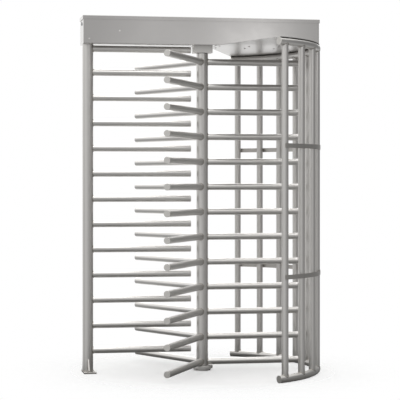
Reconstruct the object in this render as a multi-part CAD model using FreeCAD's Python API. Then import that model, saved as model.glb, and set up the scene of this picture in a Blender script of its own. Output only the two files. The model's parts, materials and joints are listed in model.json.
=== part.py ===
import FreeCAD, Part
import math
import os
from FreeCAD import Vector

# A full height turnstile: a header box on a left post and a half drum cage, a barrier comb on the post,
# and a rotor of three wings that turns between a floor pivot and a bearing under the header.
# Millimetres. The origin is on the floor at the rotor axis, +X points to the cage and +Z is up.

# Tubes
bar_d = 42.4
bar_wall = 2.0
cap_t = 2.0
cap_edge_r = 0.8
post_d = 70.0
post_wall = 3.0
column_d = 76.1
column_wall = 3.0
rail_d = 48.3
rail_wall = 2.6
rail_cap_t = 3.0

# Rotor wings and the barrier comb, whose bars lie between the arms
arm_count = 13
arm_pitch = 164.0
lowest_arm_z = 57.7
wing_reach = 683.0
wing_count = 3
comb_offset = 86.8
comb_gap = 40.0
top_bar_drop = 27.2
post_x = -757.5

# Cage
cage_r = 748.0
cage_post_count = 10
cage_post_step = 13.03
rail_end_angle = 62.6
rail_hole_d = 11.0
rail_hole_steps = (-4, -2, 2, 4)
band_h = 28.0
band_t = 3.0
band_clear = 0.2
lower_band_z = 651.0
upper_band_z = 1461.0

# Header box and its lid
arm_head_room = 104.3
header_height = 180.0
header_depth = 176.0
header_end_over = 4.0
header_past_cage = 1.0
sheet_t = 2.0
bend_r = 3.0
rim_w = 15.0
lid_seat = 0.3
lid_lip_h = 25.0
lid_lip_gap = 2.0
lid_rear_clear = 0.5

# Ceiling plate on the cage rail
ceiling_t = 2.5
ceiling_left_x = 78.0
ceiling_past_rail = 18.0
ceiling_screw_d = 6.0
ceiling_screw_head_d = 12.0
ceiling_screw_head_h = 3.5
ceiling_screw_over = 6.0
ceiling_screw_count = 4
ceiling_screw_left = 26.0
ceiling_screw_right = 66.0
ceiling_screw_y = 62.0

# Left base plate
base_w = 80.0
base_l = 160.0
base_t = 12.0
base_edge = 1.0
base_shift_x = 7.5
base_hole_dx = 52.0
base_hole_dy = 116.0
base_hole_d = 14.0
gusset_t = 8.0
gusset_h = 78.0
gusset_l = 38.0
gusset_nose = 8.0
head_plate_t = 8.0
head_bolt_d = 8.0
head_bolt_reach = 16.0

# Rotor floor plate and lower pivot
plate_d = 138.0
plate_foot_d = 112.0
plate_foot_h = 14.0
plate_top_z = 33.0
plate_pcd = 102.0
plate_hole_d = 18.0
plate_head_d = 27.0
plate_head_deep = 18.0
plate_hole_count = 4
pivot_d = 30.0
pivot_top_z = 108.0
pivot_root_d = 24.0
pivot_root_z = 8.0
bush_wall = 5.0
thrust_t = 3.0
thrust_d = 66.0
run_clear = 0.08
seat_clear = 0.3
foot_plug_h = 64.0

# Upper bearing block, shaft and bearing
block_w = 124.0
block_l = 84.0
block_h = 47.0
column_top_gap = 3.0
block_corner = 3.0
block_edge = 1.0
shaft_d = 35.0
head_plug_h = 50.0
bearing_d = 72.0
bearing_w = 17.0
bearing_ledge = 7.0
ledge_bore_d = 51.0
race_t = 5.0
ball_count = 11
ball_clear = 0.25
block_bolt_d = 10.0
block_bolt_head_d = 20.0
block_bolt_x = 50.0
block_bolt_y = 30.0
block_bolt_in = 28.0

# Mechanism on its plate inside the header
mech_t = 8.0
mech_x0 = -190.0
mech_x1 = 190.0
mech_y = 82.0
floor_hole_d = 60.0
disc_d = 150.0
disc_z = 13.0
disc_t = 10.0
notch_w = 18.0
notch_deep = 14.0
notch_count = 12
hub_d = 60.0
hub_h = 10.0
gear_z = 40.0
gear_t = 12.0
gear_module = 1.5
gear_teeth = 80
pinion_teeth = 20
gear_backlash = 0.2
collar_gap = 2.0
collar_h = 14.0
collar_d = 56.0
shaft_past_collar = 14.0
drive_shaft_d = 12.0
drive_shaft_in = 10.0
bracket_z = 58.0
bracket_t = 8.0
bracket_x0 = 46.0
bracket_leg_x = 150.0
bracket_y = 40.0
gearbox_d = 64.0
gearbox_h = 34.0
motor_d = 54.0
motor_h = 48.0

# Lock pawls on the left side of the index disc, with their solenoids
pawl_angle = 225.0
pawl_reach = 62.0
pawl_swing = 13.0
pawl_arm_gap = 2.0
pawl_w = 14.0
pawl_tooth_w = 11.0
pawl_tooth_deep = 11.0
pawl_tail = 34.0
pawl_hub_d = 24.0
pawl_t = 12.0
pawl_pin_d = 10.0
pin_boss_d = 18.0
pin_head_h = 3.0
pin_head_d = 18.0
spring_wire = 1.6
spring_turns = 4
spring_pitch = 2.2
spring_r = 7.6
link_pin_d = 5.0
link_clear = 0.15
link_slot = 7.0
fork_t = 4.0
fork_w = 12.0
fork_gap = 1.0
plunger_d = 8.0
plunger_in = 22.0
solenoid_l = 38.0
solenoid_w = 32.0

# Control box and power supply
control_l = 180.0
control_w = 108.0
control_h = 60.0
control_wall = 3.0
control_corner = 6.0
control_cover_t = 4.0
board_edge = 6.0
board_t = 1.6
supply_l = 130.0
supply_w = 98.0
supply_h = 42.0
supply_slots = 9
supply_slot_deep = 2.0

# Lid hinges and lid locks
hinge_x = (-520.0, 0.0, 520.0)
hinge_l = 80.0
hinge_t = 1.5
hinge_pin_d = 5.0
hinge_knuckle_d = 10.0
hinge_knuckle_gap = 0.4
hinge_leaf_w = 30.0
lock_z_drop = 48.0
lock_d = 19.0
lock_head_d = 22.0
lock_head_h = 5.0
lock_l = 20.0
lock_plug_d = 12.0
lock_slot_l = 8.0
lock_slot_w = 2.4
lock_slot_deep = 1.2
lock_cam_t = 3.0
lock_cam_l = 22.0
lock_cam_w = 10.0
catch_t = 3.0
catch_w = 12.0
catch_far = 29.0
catch_near = 7.0
catch_drop = 9.0

# Small screws on the header's face
face_screw_d = 7.0
face_screw_h = 2.0
face_screws = ((-757.5, 29.0), (-560.0, 82.0))

# Derived sizes
top_arm_z = lowest_arm_z + arm_pitch * (arm_count - 1)
header_bottom_z = top_arm_z + arm_head_room
header_top_z = header_bottom_z + header_height
bar_end_x = -(column_d / 2 + comb_gap)
lowest_bar_z = lowest_arm_z + comb_offset
top_bar_z = header_bottom_z - top_bar_drop
cage_outer_r = cage_r + bar_d / 2
ceiling_edge_r = cage_r + ceiling_past_rail
ceiling_screw_step = (ceiling_edge_r - ceiling_screw_right - ceiling_left_x - ceiling_screw_left) / (
    ceiling_screw_count - 1)
ceiling_screw_x = [ceiling_left_x + ceiling_screw_left + ceiling_screw_step * i
                   for i in range(ceiling_screw_count)]
ceiling_z = header_bottom_z - ceiling_t
top_rail_z = ceiling_z - rail_d / 2
bottom_rail_z = rail_d / 2
header_x0 = post_x - post_d / 2 - header_end_over
header_x1 = cage_outer_r + header_past_cage
header_y = header_depth / 2
electrics_gap = (header_x1 - sheet_t - mech_x1 - control_l - supply_l) / 3
control_x0 = mech_x1 + electrics_gap
supply_x0 = control_x0 + control_l + electrics_gap
rim_top_z = header_top_z - sheet_t - lid_seat
block_bottom_z = header_bottom_z - block_h
column_top_z = block_bottom_z - column_top_gap
column_foot_z = plate_top_z + thrust_t + seat_clear
column_inner_d = column_d - 2 * column_wall
floor_z = header_bottom_z + sheet_t
mech_top = floor_z + mech_t
collar_z = mech_top + gear_z + gear_t + collar_gap
shaft_top_z = collar_z + collar_h + shaft_past_collar
gear_centre = gear_module * (gear_teeth + pinion_teeth) / 2
hinge_y = header_y + hinge_knuckle_d / 2 + lid_rear_clear
hinge_z = header_top_z - sheet_t - 1.0
pawl_z = disc_z + (disc_t - pawl_t) / 2

X = Vector(1, 0, 0)
Y = Vector(0, 1, 0)
Z = Vector(0, 0, 1)
O = Vector(0, 0, 0)


def block(x0, x1, y0, y1, z0, z1):
    """A box between two corners."""
    return Part.makeBox(x1 - x0, y1 - y0, z1 - z0, Vector(x0, y0, z0))


def rod(d, start, along, length):
    """A round bar."""
    return Part.makeCylinder(d / 2, length, start, along)


def pipe(d, wall, start, along, length):
    """A round tube."""
    return rod(d, start, along, length).cut(rod(d - 2 * wall, start, along, length))


def ring(d_out, d_in, x, y, z0, h):
    """An upright ring or washer."""
    return rod(d_out, Vector(x, y, z0), Z, h).cut(rod(d_in, Vector(x, y, z0), Z, h))


def drilled(shape, d, x, y, z0, z1):
    """The shape with an upright hole from z0 to z1."""
    return shape.cut(rod(d, Vector(x, y, z0), Z, z1 - z0))


def hexagon(across, x, y, z0, h):
    """A hexagonal prism, as a nut or a bolt head."""
    corner = across / 2 / math.cos(math.radians(30))
    points = [(x + corner * math.cos(math.radians(60 * i)), y + corner * math.sin(math.radians(60 * i)))
              for i in range(6)]
    return prism(points, z0, h)


def turned(shape, angle, about=O, axis=Z):
    """A copy turned about an axis."""
    copy = shape.copy()
    copy.rotate(about, axis, angle)
    return copy


def prism(points, z0, h):
    """An upright prism on a closed outline of x, y points."""
    pts = [Vector(px, py, z0) for px, py in points]
    return Part.Face(Part.makePolygon(pts + pts[:1])).extrude(Z * h)


def upright_edges(shape, length):
    """The shape's upright edges of a given length."""
    return [e for e in shape.Edges if abs(e.BoundBox.ZLength - length) < 0.1]


def top_edges(shape, z):
    """The shape's edges that lie at a height or above it."""
    return [e for e in shape.Edges if e.BoundBox.ZMin > z - 0.01]


def low_edges(shape, z):
    """The shape's edges that lie at a height or below it."""
    return [e for e in shape.Edges if e.BoundBox.ZMax < z + 0.01]


def end_cap(d, t):
    """A round cap on a tube's end at the origin, with its outer edge rounded, facing +X."""
    cap = rod(d, O, X, t)
    return cap.makeFillet(cap_edge_r, [e for e in cap.Edges if e.BoundBox.XMin > t - 0.01])


def save(name, *shapes):
    """One file for one named piece or group of like pieces."""
    solids = [solid for shape in shapes for solid in shape.Solids]
    whole = Part.makeCompound(solids)
    whole.exportStep("parts/" + name + ".step")
    box = whole.BoundBox
    print("%-26s %3d solids  z %7.1f to %7.1f" % (name, len(solids), box.ZMin, box.ZMax))


def head_bolt_places():
    """Where the header is bolted to the left post's head plate."""
    return [(post_x + sx * head_bolt_reach, sy * head_bolt_reach) for sx in (-1, 1) for sy in (-1, 1)]


def left_post():
    """The post with its head plate, and the base plate with two welded gussets."""
    post = pipe(post_d, post_wall, Vector(post_x, 0, base_t), Z, header_bottom_z - base_t)
    head = rod(post_d - 2 * post_wall, Vector(post_x, 0, header_bottom_z - head_plate_t), Z, head_plate_t)
    for x, y in head_bolt_places():
        head = drilled(head, head_bolt_d, x, y, header_bottom_z - 2 * head_plate_t, header_bottom_z + 1)
    save("left_post", post.fuse(head))

    plate_x = post_x + base_shift_x
    plate = block(plate_x - base_w / 2, plate_x + base_w / 2, -base_l / 2, base_l / 2, 0, base_t)
    plate = plate.makeChamfer(base_edge, top_edges(plate, base_t))
    for sx in (-1, 1):
        for sy in (-1, 1):
            plate = drilled(plate, base_hole_d, plate_x + sx * base_hole_dx / 2, sy * base_hole_dy / 2,
                            -1, base_t + 1)
    column = rod(post_d, Vector(post_x, 0, base_t), Z, header_bottom_z)
    for side in (-1, 1):
        inside = side * post_d / 4
        flank = side * post_d / 2
        toe = side * (post_d / 2 + gusset_l)
        top = base_t + gusset_h
        corners = ((inside, base_t), (toe, base_t), (toe, base_t + gusset_nose), (flank, top), (inside, top))
        outline = [Vector(post_x - gusset_t / 2, y, z) for y, z in corners]
        web = Part.Face(Part.makePolygon(outline + outline[:1])).extrude(X * gusset_t)
        plate = plate.fuse(web.cut(column))
    save("left_base_plate", plate)


def barrier():
    """The comb of bars on the left post, between which the arms pass."""
    bars = []
    caps = []
    post = rod(post_d, Vector(post_x, 0, 0), Z, header_bottom_z)
    heights = [lowest_bar_z + arm_pitch * i for i in range(arm_count - 1)] + [top_bar_z]
    for z in heights:
        bars.append(pipe(bar_d, bar_wall, Vector(post_x, 0, z), X, bar_end_x - cap_t - post_x).cut(post))
        cap = end_cap(bar_d, cap_t)
        cap.translate(Vector(bar_end_x - cap_t, 0, z))
        caps.append(cap)
    save("barrier_bars", *bars)
    save("barrier_bar_caps", *caps)


def bent_rod(d, z, half_angle):
    """A solid round rod bent to the cage's arc, symmetrical about +X."""
    torus = Part.makeTorus(cage_r, d / 2, Vector(0, 0, z), Z, 0, 360, 2 * half_angle)
    return turned(torus, -half_angle)


def cage():
    """The half drum: upright tubes between two bent rails, with two flat bands outside."""
    cap_angle = math.degrees(rail_cap_t / cage_r)
    rails = {"cage_bottom_rail": bottom_rail_z, "cage_top_rail": top_rail_z}
    caps = []
    for name, z in rails.items():
        rail = bent_rod(rail_d, z, rail_end_angle - cap_angle)
        rail = rail.cut(bent_rod(rail_d - 2 * rail_wall, z, rail_end_angle - cap_angle))
        if name == "cage_bottom_rail":
            for step in rail_hole_steps:
                a = math.radians(step * cage_post_step)
                rail = drilled(rail, rail_hole_d, cage_r * math.cos(a), cage_r * math.sin(a), -1, rail_d + 1)
        save(name, rail)
        for side in (-1, 1):
            cap = turned(end_cap(rail_d, rail_cap_t), side * 90)
            cap.translate(Vector(cage_r, 0, z))
            caps.append(turned(cap, side * (rail_end_angle - cap_angle)))
    save("cage_rail_end_caps", *caps)

    posts = []
    tube = pipe(bar_d, bar_wall, Vector(cage_r, 0, bottom_rail_z), Z, top_rail_z - bottom_rail_z)
    for i in range(cage_post_count):
        post = turned(tube, cage_post_step * (i - (cage_post_count - 1) / 2))
        for z in rails.values():
            post = post.cut(bent_rod(rail_d, z, rail_end_angle))
        posts.append(max(post.Solids, key=lambda s: s.Volume))
    save("cage_posts", *posts)

    r_in = cage_outer_r + band_clear
    half_band = cage_post_step * (cage_post_count - 1) / 2 + math.degrees(bar_d / 2 / cage_r)
    for name, z in (("cage_lower_band", lower_band_z), ("cage_upper_band", upper_band_z)):
        low = Vector(0, 0, z - band_h / 2)
        band = Part.makeCylinder(r_in + band_t, band_h, low, Z, 2 * half_band)
        band = band.cut(Part.makeCylinder(r_in, band_h, low, Z, 360))
        save(name, turned(band, -half_band))


def ceiling():
    """The sector shaped plate under the header, which rests on the cage's top rail."""
    end = math.radians(rail_end_angle)
    front = Vector(ceiling_edge_r * math.cos(end), -ceiling_edge_r * math.sin(end), ceiling_z)
    rear = Vector(front.x, -front.y, ceiling_z)
    near = Vector(ceiling_left_x, -header_y, ceiling_z)
    far = Vector(ceiling_left_x, header_y, ceiling_z)
    arc = Part.Arc(front, Vector(ceiling_edge_r, 0, ceiling_z), rear).toShape()
    edges = [arc, Part.makeLine(rear, far), Part.makeLine(far, near), Part.makeLine(near, front)]
    plate = Part.Face(Part.Wire(edges)).extrude(Z * ceiling_t)
    screws = []
    head_z = ceiling_z - ceiling_screw_head_h
    for x in ceiling_screw_x:
        for y in (-ceiling_screw_y, ceiling_screw_y):
            plate = drilled(plate, ceiling_screw_d, x, y, ceiling_z - 1, header_bottom_z + 1)
            head = rod(ceiling_screw_head_d, Vector(x, y, head_z), Z, ceiling_screw_head_h)
            shank = rod(ceiling_screw_d, Vector(x, y, ceiling_z), Z, ceiling_t + sheet_t + ceiling_screw_over)
            screws.append(shank.fuse(head).removeSplitter())
    save("ceiling_plate", plate)
    for x, up in face_screws:
        screws.append(rod(face_screw_d, Vector(x, -header_y, header_bottom_z + up), -Y, face_screw_h))
    save("header_screws", *screws)


def header():
    """The folded box with its stiffening rim, and the bolts on the left post."""
    box = block(header_x0, header_x1, -header_y, header_y, header_bottom_z, rim_top_z)
    box = box.makeFillet(bend_r, box.Edges)
    inside = block(header_x0 + sheet_t, header_x1 - sheet_t, -header_y + sheet_t, header_y - sheet_t,
                   floor_z, rim_top_z - sheet_t)
    box = box.cut(inside.makeFillet(bend_r - sheet_t, inside.Edges))
    box = box.cut(block(header_x0 + rim_w, header_x1 - rim_w, -header_y + rim_w, header_y - rim_w,
                        rim_top_z - 2 * sheet_t, rim_top_z + sheet_t))
    holes = [(0, 0, floor_hole_d)]
    holes += [(x, y, block_bolt_d) for x, y in block_bolt_places()]
    holes += [(x, y, head_bolt_d) for x, y in head_bolt_places()]
    holes += [(x, sy * ceiling_screw_y, ceiling_screw_d) for x in ceiling_screw_x for sy in (-1, 1)]
    for x, y, d in holes:
        box = drilled(box, d, x, y, header_bottom_z - 1, floor_z + 1)
    lock_z = header_top_z - lock_z_drop
    box = box.cut(rod(lock_d, Vector(header_x0 - 1, 0, lock_z), X, header_x1 - header_x0 + 2))
    save("header_box", box)
    bolts = []
    for x, y in head_bolt_places():
        shank = rod(head_bolt_d, Vector(x, y, header_bottom_z - head_plate_t), Z, head_plate_t + sheet_t)
        head = hexagon(1.6 * head_bolt_d, x, y, floor_z, 0.65 * head_bolt_d)
        bolts.append(shank.fuse(head).removeSplitter())
    save("header_post_bolts", *bolts)


def folded_edges(shape):
    """The five folds of the lid: along the top's front and ends, and down its two front corners."""
    box = shape.BoundBox
    top = [e for e in top_edges(shape, box.ZMax) if e.BoundBox.YMin < box.YMax - 0.01]
    corners = [e for e in upright_edges(shape, box.ZLength) if e.BoundBox.YMax < box.YMin + 0.01]
    return top + corners


def lid():
    """The lid with its front and end lips, and three butt hinges on the rear edge."""
    over = lid_lip_gap + sheet_t
    rear = header_y - lid_rear_clear
    top = block(header_x0 - over, header_x1 + over, -header_y - over, rear, header_top_z - lid_lip_h,
                header_top_z)
    under = block(header_x0 - lid_lip_gap, header_x1 + lid_lip_gap, -header_y - lid_lip_gap,
                  rear + 1, header_top_z - lid_lip_h - 1, header_top_z - sheet_t)
    top = top.makeFillet(bend_r, folded_edges(top))
    save("lid", top.cut(under.makeFillet(bend_r - sheet_t, folded_edges(under))))

    fixed = []
    moving = []
    pins = []
    third = hinge_l / 3
    width = third - hinge_knuckle_gap
    for middle in hinge_x:
        start = middle - hinge_l / 2
        pins.append(rod(hinge_pin_d, Vector(start, hinge_y, hinge_z), X, hinge_l))
        bore = rod(hinge_pin_d + 2 * run_clear, Vector(start - 1, hinge_y, hinge_z), X, hinge_l + 2)
        leaf = block(start, start + hinge_l, header_y, header_y + hinge_t, hinge_z - hinge_leaf_w,
                     hinge_z - hinge_knuckle_d / 2)
        for x0 in (start, start + hinge_l - width):
            leaf = leaf.fuse(rod(hinge_knuckle_d, Vector(x0, hinge_y, hinge_z), X, width))
            leaf = leaf.fuse(block(x0, x0 + width, header_y, header_y + hinge_t, hinge_z - hinge_leaf_w,
                                   hinge_z - hinge_knuckle_d / 4))
        fixed.append(leaf.cut(rod(hinge_pin_d, Vector(start - 1, hinge_y, hinge_z), X, hinge_l + 2)))
        x0 = start + third + hinge_knuckle_gap / 2
        web = block(x0, x0 + width, header_y - hinge_leaf_w, hinge_y, header_top_z, header_top_z + hinge_t)
        knuckle = rod(hinge_knuckle_d, Vector(x0, hinge_y, hinge_z), X, width)
        moving.append(knuckle.fuse(web).cut(bore))
    save("lid_hinge_fixed_leaves", *fixed)
    save("lid_hinge_moving_leaves", *moving)
    save("lid_hinge_pins", *pins)


def lid_locks():
    """A quarter turn lock in each end wall, with the catch that hangs from the lid beside its cam."""
    lock_z = header_top_z - lock_z_drop
    barrels = []
    catches = []
    for name, wall_x, inward in (("left", header_x0, 1), ("right", header_x1, -1)):
        along = X * inward
        start = Vector(wall_x, 0, lock_z)
        face = start - along * lock_head_h
        barrel = rod(lock_d, start, along, lock_l).fuse(rod(lock_head_d, start, -along, lock_head_h))
        bore = rod(lock_plug_d + 2 * run_clear, face - along, along, lock_l + lock_head_h + 2)
        barrels.append(barrel.cut(bore).removeSplitter())
        plug = rod(lock_plug_d, face, along, lock_l + lock_head_h + seat_clear + lock_cam_t)
        key_slot = block(-lock_slot_deep, lock_slot_deep, -lock_slot_l / 2, lock_slot_l / 2,
                         -lock_slot_w / 2, lock_slot_w / 2)
        key_slot.translate(face)
        cam_x = [wall_x + inward * (lock_l + seat_clear + t) for t in (0, lock_cam_t)]
        cam = block(min(cam_x), max(cam_x), -lock_cam_w / 2, lock_cam_w / 2, lock_z, lock_z + lock_cam_l)
        hub = rod(lock_plug_d + 4, Vector(cam_x[0], 0, lock_z), along, lock_cam_t)
        save("lid_lock_cam_" + name, plug.cut(key_slot).fuse(hub).fuse(cam).removeSplitter())
        x0 = sum(cam_x) / 2 - catch_w / 2
        low = lock_z - catch_drop
        hanger = block(x0, x0 + catch_w, -catch_far - catch_t, -catch_far, low - catch_t,
                       header_top_z - sheet_t)
        ledge = block(x0, x0 + catch_w, -catch_far - catch_t, -catch_near, low - catch_t, low)
        catches.append(hanger.fuse(ledge).removeSplitter())
    save("lid_lock_barrels", *barrels)
    save("lid_catches", *catches)


def floor_pivot():
    """The floor plate, and the pivot pin and thrust washer that carry the rotor."""
    plate = rod(plate_d, Vector(0, 0, plate_foot_h), Z, plate_top_z - plate_foot_h)
    plate = plate.makeFillet(2.0, top_edges(plate, plate_top_z))
    plate = plate.fuse(rod(plate_foot_d, O, Z, plate_foot_h))
    plate = drilled(plate, pivot_root_d, 0, 0, pivot_root_z, plate_top_z + 1)
    for i in range(plate_hole_count):
        a = math.radians(360 / plate_hole_count * (i + 0.5))
        x, y = plate_pcd / 2 * math.cos(a), plate_pcd / 2 * math.sin(a)
        plate = drilled(plate, plate_hole_d, x, y, -1, plate_top_z)
        plate = drilled(plate, plate_head_d, x, y, plate_top_z - plate_head_deep, plate_top_z + 1)
    save("rotor_floor_plate", plate)
    pin = rod(pivot_d, Vector(0, 0, plate_top_z), Z, pivot_top_z - plate_top_z)
    pin = pin.makeChamfer(2.0, top_edges(pin, pivot_top_z))
    pin = pin.fuse(rod(pivot_root_d, Vector(0, 0, pivot_root_z), Z, plate_top_z - pivot_root_z))
    save("lower_pivot_pin", pin)
    save("lower_thrust_washer", ring(thrust_d, pivot_d, 0, 0, plate_top_z, thrust_t))


def rotor():
    """The column with three wings of arms, its end plugs, the lower bush and the upper shaft."""
    column = pipe(column_d, column_wall, Vector(0, 0, column_foot_z), Z, column_top_z - column_foot_z)
    save("rotor_column", column)
    caps = []
    post = rod(column_d, O, Z, header_bottom_z)
    for wing, letter in enumerate("abc"):
        angle = (wing + 1 - wing_count) * 360 / wing_count
        arms = []
        for i in range(arm_count):
            z = lowest_arm_z + arm_pitch * i
            arm = pipe(bar_d, bar_wall, Vector(0, 0, z), X, wing_reach - cap_t).cut(post)
            arms.append(turned(arm, angle))
            cap = end_cap(bar_d, cap_t)
            cap.translate(Vector(wing_reach - cap_t, 0, z))
            caps.append(turned(cap, angle))
        save("rotor_wing_" + letter, *arms)
    save("rotor_arm_caps", *caps)

    bore = pivot_d + 2 * run_clear
    head_z = column_top_z - head_plug_h
    foot = ring(column_inner_d, bore + 2 * bush_wall, 0, 0, column_foot_z, foot_plug_h)
    head = ring(column_inner_d, shaft_d, 0, 0, head_z, head_plug_h)
    save("column_end_plugs", foot, head)
    save("lower_pivot_bush", ring(bore + 2 * bush_wall, bore, 0, 0, column_foot_z, foot_plug_h))
    shaft = rod(shaft_d, Vector(0, 0, head_z), Z, shaft_top_z - head_z)
    save("rotor_shaft", shaft.makeChamfer(1.5, top_edges(shaft, shaft_top_z)))


def block_bolt_places():
    """Where the bearing block is bolted up to the mechanism plate."""
    return [(sx * block_bolt_x, sy * block_bolt_y) for sx in (-1, 1) for sy in (-1, 1)]


def bolt_cone(x, y):
    """The countersunk head of a bearing block bolt, flush with the mechanism plate."""
    head_h = (block_bolt_head_d - block_bolt_d) / 2
    return Part.makeCone(block_bolt_d / 2, block_bolt_head_d / 2, head_h, Vector(x, y, mech_top - head_h), Z)


def upper_bearing():
    """The block under the header and the ball bearing in it."""
    ledge_z = block_bottom_z + bearing_ledge
    housing = block(-block_w / 2, block_w / 2, -block_l / 2, block_l / 2, block_bottom_z, header_bottom_z)
    housing = housing.makeFillet(block_corner, upright_edges(housing, block_h))
    housing = housing.makeChamfer(block_edge, low_edges(housing, block_bottom_z))
    housing = drilled(housing, ledge_bore_d, 0, 0, block_bottom_z - 1, header_bottom_z)
    housing = drilled(housing, bearing_d, 0, 0, ledge_z, header_bottom_z + 1)
    bolts = []
    for x, y in block_bolt_places():
        housing = drilled(housing, block_bolt_d, x, y, header_bottom_z - block_bolt_in, header_bottom_z + 1)
        low = header_bottom_z - block_bolt_in
        shank = rod(block_bolt_d, Vector(x, y, low), Z, mech_top - low)
        bolts.append(shank.fuse(bolt_cone(x, y)).removeSplitter())
    save("upper_bearing_block", housing)
    save("upper_bearing_block_bolts", *bolts)
    save("upper_bearing_outer_race", ring(bearing_d, bearing_d - 2 * race_t, 0, 0, ledge_z, bearing_w))
    save("upper_bearing_inner_race", ring(shaft_d + 2 * race_t, shaft_d, 0, 0, ledge_z, bearing_w))
    inner_r = shaft_d / 2 + race_t
    outer_r = bearing_d / 2 - race_t
    pitch_r = (inner_r + outer_r) / 2
    ball_r = (outer_r - inner_r) / 2 - ball_clear
    middle = ledge_z + bearing_w / 2
    ball = Part.makeSphere(ball_r, Vector(pitch_r, 0, middle))
    save("upper_bearing_balls", *[turned(ball, 360 / ball_count * i) for i in range(ball_count)])


def gear_outline(teeth, phase):
    """Points of a spur gear: each flank is an involute from the root to the tip circle."""
    pressure = math.radians(20)
    pitch_r = gear_module * teeth / 2
    base_r = pitch_r * math.cos(pressure)
    tip_r = pitch_r + gear_module
    root_r = pitch_r - 1.25 * gear_module
    half = math.pi / 2 / teeth - gear_backlash / 2 / pitch_r + math.tan(pressure) - pressure
    start = max(base_r, root_r)
    tooth = []
    for i in range(4):
        r = start + (tip_r - start) * i / 3
        roll = math.acos(base_r / r)
        tooth.append((r, half - (math.tan(roll) - roll)))
    if root_r < base_r:
        tooth.insert(0, (root_r, tooth[0][1]))
    points = []
    for n in range(teeth):
        middle = 2 * math.pi * n / teeth + phase
        sides = [(r, middle - a) for r, a in tooth] + [(r, middle + a) for r, a in reversed(tooth)]
        points += [(r * math.cos(a), r * math.sin(a)) for r, a in sides]
    return points


def mechanism():
    """The plate inside the header, and the index disc, gear and collar on the rotor's shaft."""
    plate = block(mech_x0, mech_x1, -mech_y, mech_y, floor_z, mech_top)
    plate = drilled(plate, floor_hole_d, 0, 0, floor_z - 1, mech_top + 1)
    for x, y in block_bolt_places():
        plate = drilled(plate, block_bolt_d, x, y, floor_z - 1, mech_top).cut(bolt_cone(x, y))
    for x in ceiling_screw_x:
        for sy in (-1, 1):
            plate = drilled(plate, ceiling_screw_d, x, sy * ceiling_screw_y, floor_z - 1,
                            floor_z + ceiling_screw_over)
    save("mechanism_plate", plate)

    shaft = rod(shaft_d, Vector(0, 0, floor_z), Z, shaft_top_z)
    z = mech_top + disc_z
    disc = rod(disc_d, Vector(0, 0, z), Z, disc_t)
    for i in range(notch_count):
        notch = block(disc_d / 2 - notch_deep, disc_d, -notch_w / 2, notch_w / 2, z - 1, z + disc_t + 1)
        disc = disc.cut(turned(notch, 360 / notch_count * (i + 0.5)))
    disc = disc.fuse(rod(hub_d, Vector(0, 0, z + disc_t), Z, hub_h))
    save("index_disc", disc.cut(shaft).removeSplitter())
    z = mech_top + gear_z
    save("rotor_gear", prism(gear_outline(gear_teeth, 0.0), z, gear_t).cut(shaft))
    save("shaft_collar", ring(collar_d, shaft_d, 0, 0, collar_z, collar_h))


def drive():
    """The pinion in mesh with the rotor's gear, and the gearbox and motor on their bracket."""
    z = mech_top + gear_z
    plate_z = mech_top + bracket_z
    top = plate_z + bracket_t
    pinion = prism(gear_outline(pinion_teeth, math.pi / pinion_teeth), z, gear_t)
    pinion.translate(X * gear_centre)
    shaft = rod(drive_shaft_d, Vector(gear_centre, 0, z), Z, top + drive_shaft_in - z)
    save("drive_pinion", pinion.fuse(shaft).removeSplitter())

    bracket = block(bracket_x0, bracket_leg_x, -bracket_y, bracket_y, plate_z, top)
    leg = block(bracket_leg_x, bracket_leg_x + bracket_t, -bracket_y, bracket_y, mech_top, top)
    bracket = bracket.fuse(leg)
    bracket = drilled(bracket, drive_shaft_d + bracket_t, gear_centre, 0, plate_z - 1, top + 1)
    save("drive_bracket", bracket.removeSplitter())
    gearbox = rod(gearbox_d, Vector(gear_centre, 0, top), Z, gearbox_h)
    gearbox = drilled(gearbox, drive_shaft_d + 2 * run_clear, gear_centre, 0, top - 1,
                      top + drive_shaft_in + seat_clear)
    save("drive_gearbox", gearbox)
    motor = rod(motor_d, Vector(gear_centre, 0, top + gearbox_h), Z, motor_h)
    save("drive_motor", motor.makeFillet(3.0, top_edges(motor, top + gearbox_h + motor_h)))


def coil(x, y, z0):
    """A torsion spring: close turns of round wire about an upright pin, in half turns."""
    edges = []
    for i in range(2 * spring_turns):
        points = []
        for quarter in (2 * i, 2 * i + 1, 2 * i + 2):
            a = math.pi / 2 * quarter
            points.append(Vector(spring_r * math.cos(a), spring_r * math.sin(a), spring_pitch * quarter / 4))
        edges.append(Part.Arc(*points).toShape())
    profile = Part.Wire(Part.makeCircle(spring_wire / 2, Vector(spring_r, 0, 0), Y))
    spring = Part.Wire(edges).makePipeShell([profile], True, False)
    spring.translate(Vector(x, y, z0 + spring_wire / 2 + seat_clear))
    return spring


def lever(start, end, width, z, h):
    """A flat lever with round ends between two points."""
    side = Vector(start.y - end.y, end.x - start.x, 0).normalize() * (width / 2)
    corners = [start + side, end + side, end - side, start - side]
    shape = prism([(c.x, c.y) for c in corners], z, h)
    for point in (start, end):
        shape = shape.fuse(rod(width, Vector(point.x, point.y, z), Z, h))
    return shape


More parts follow.
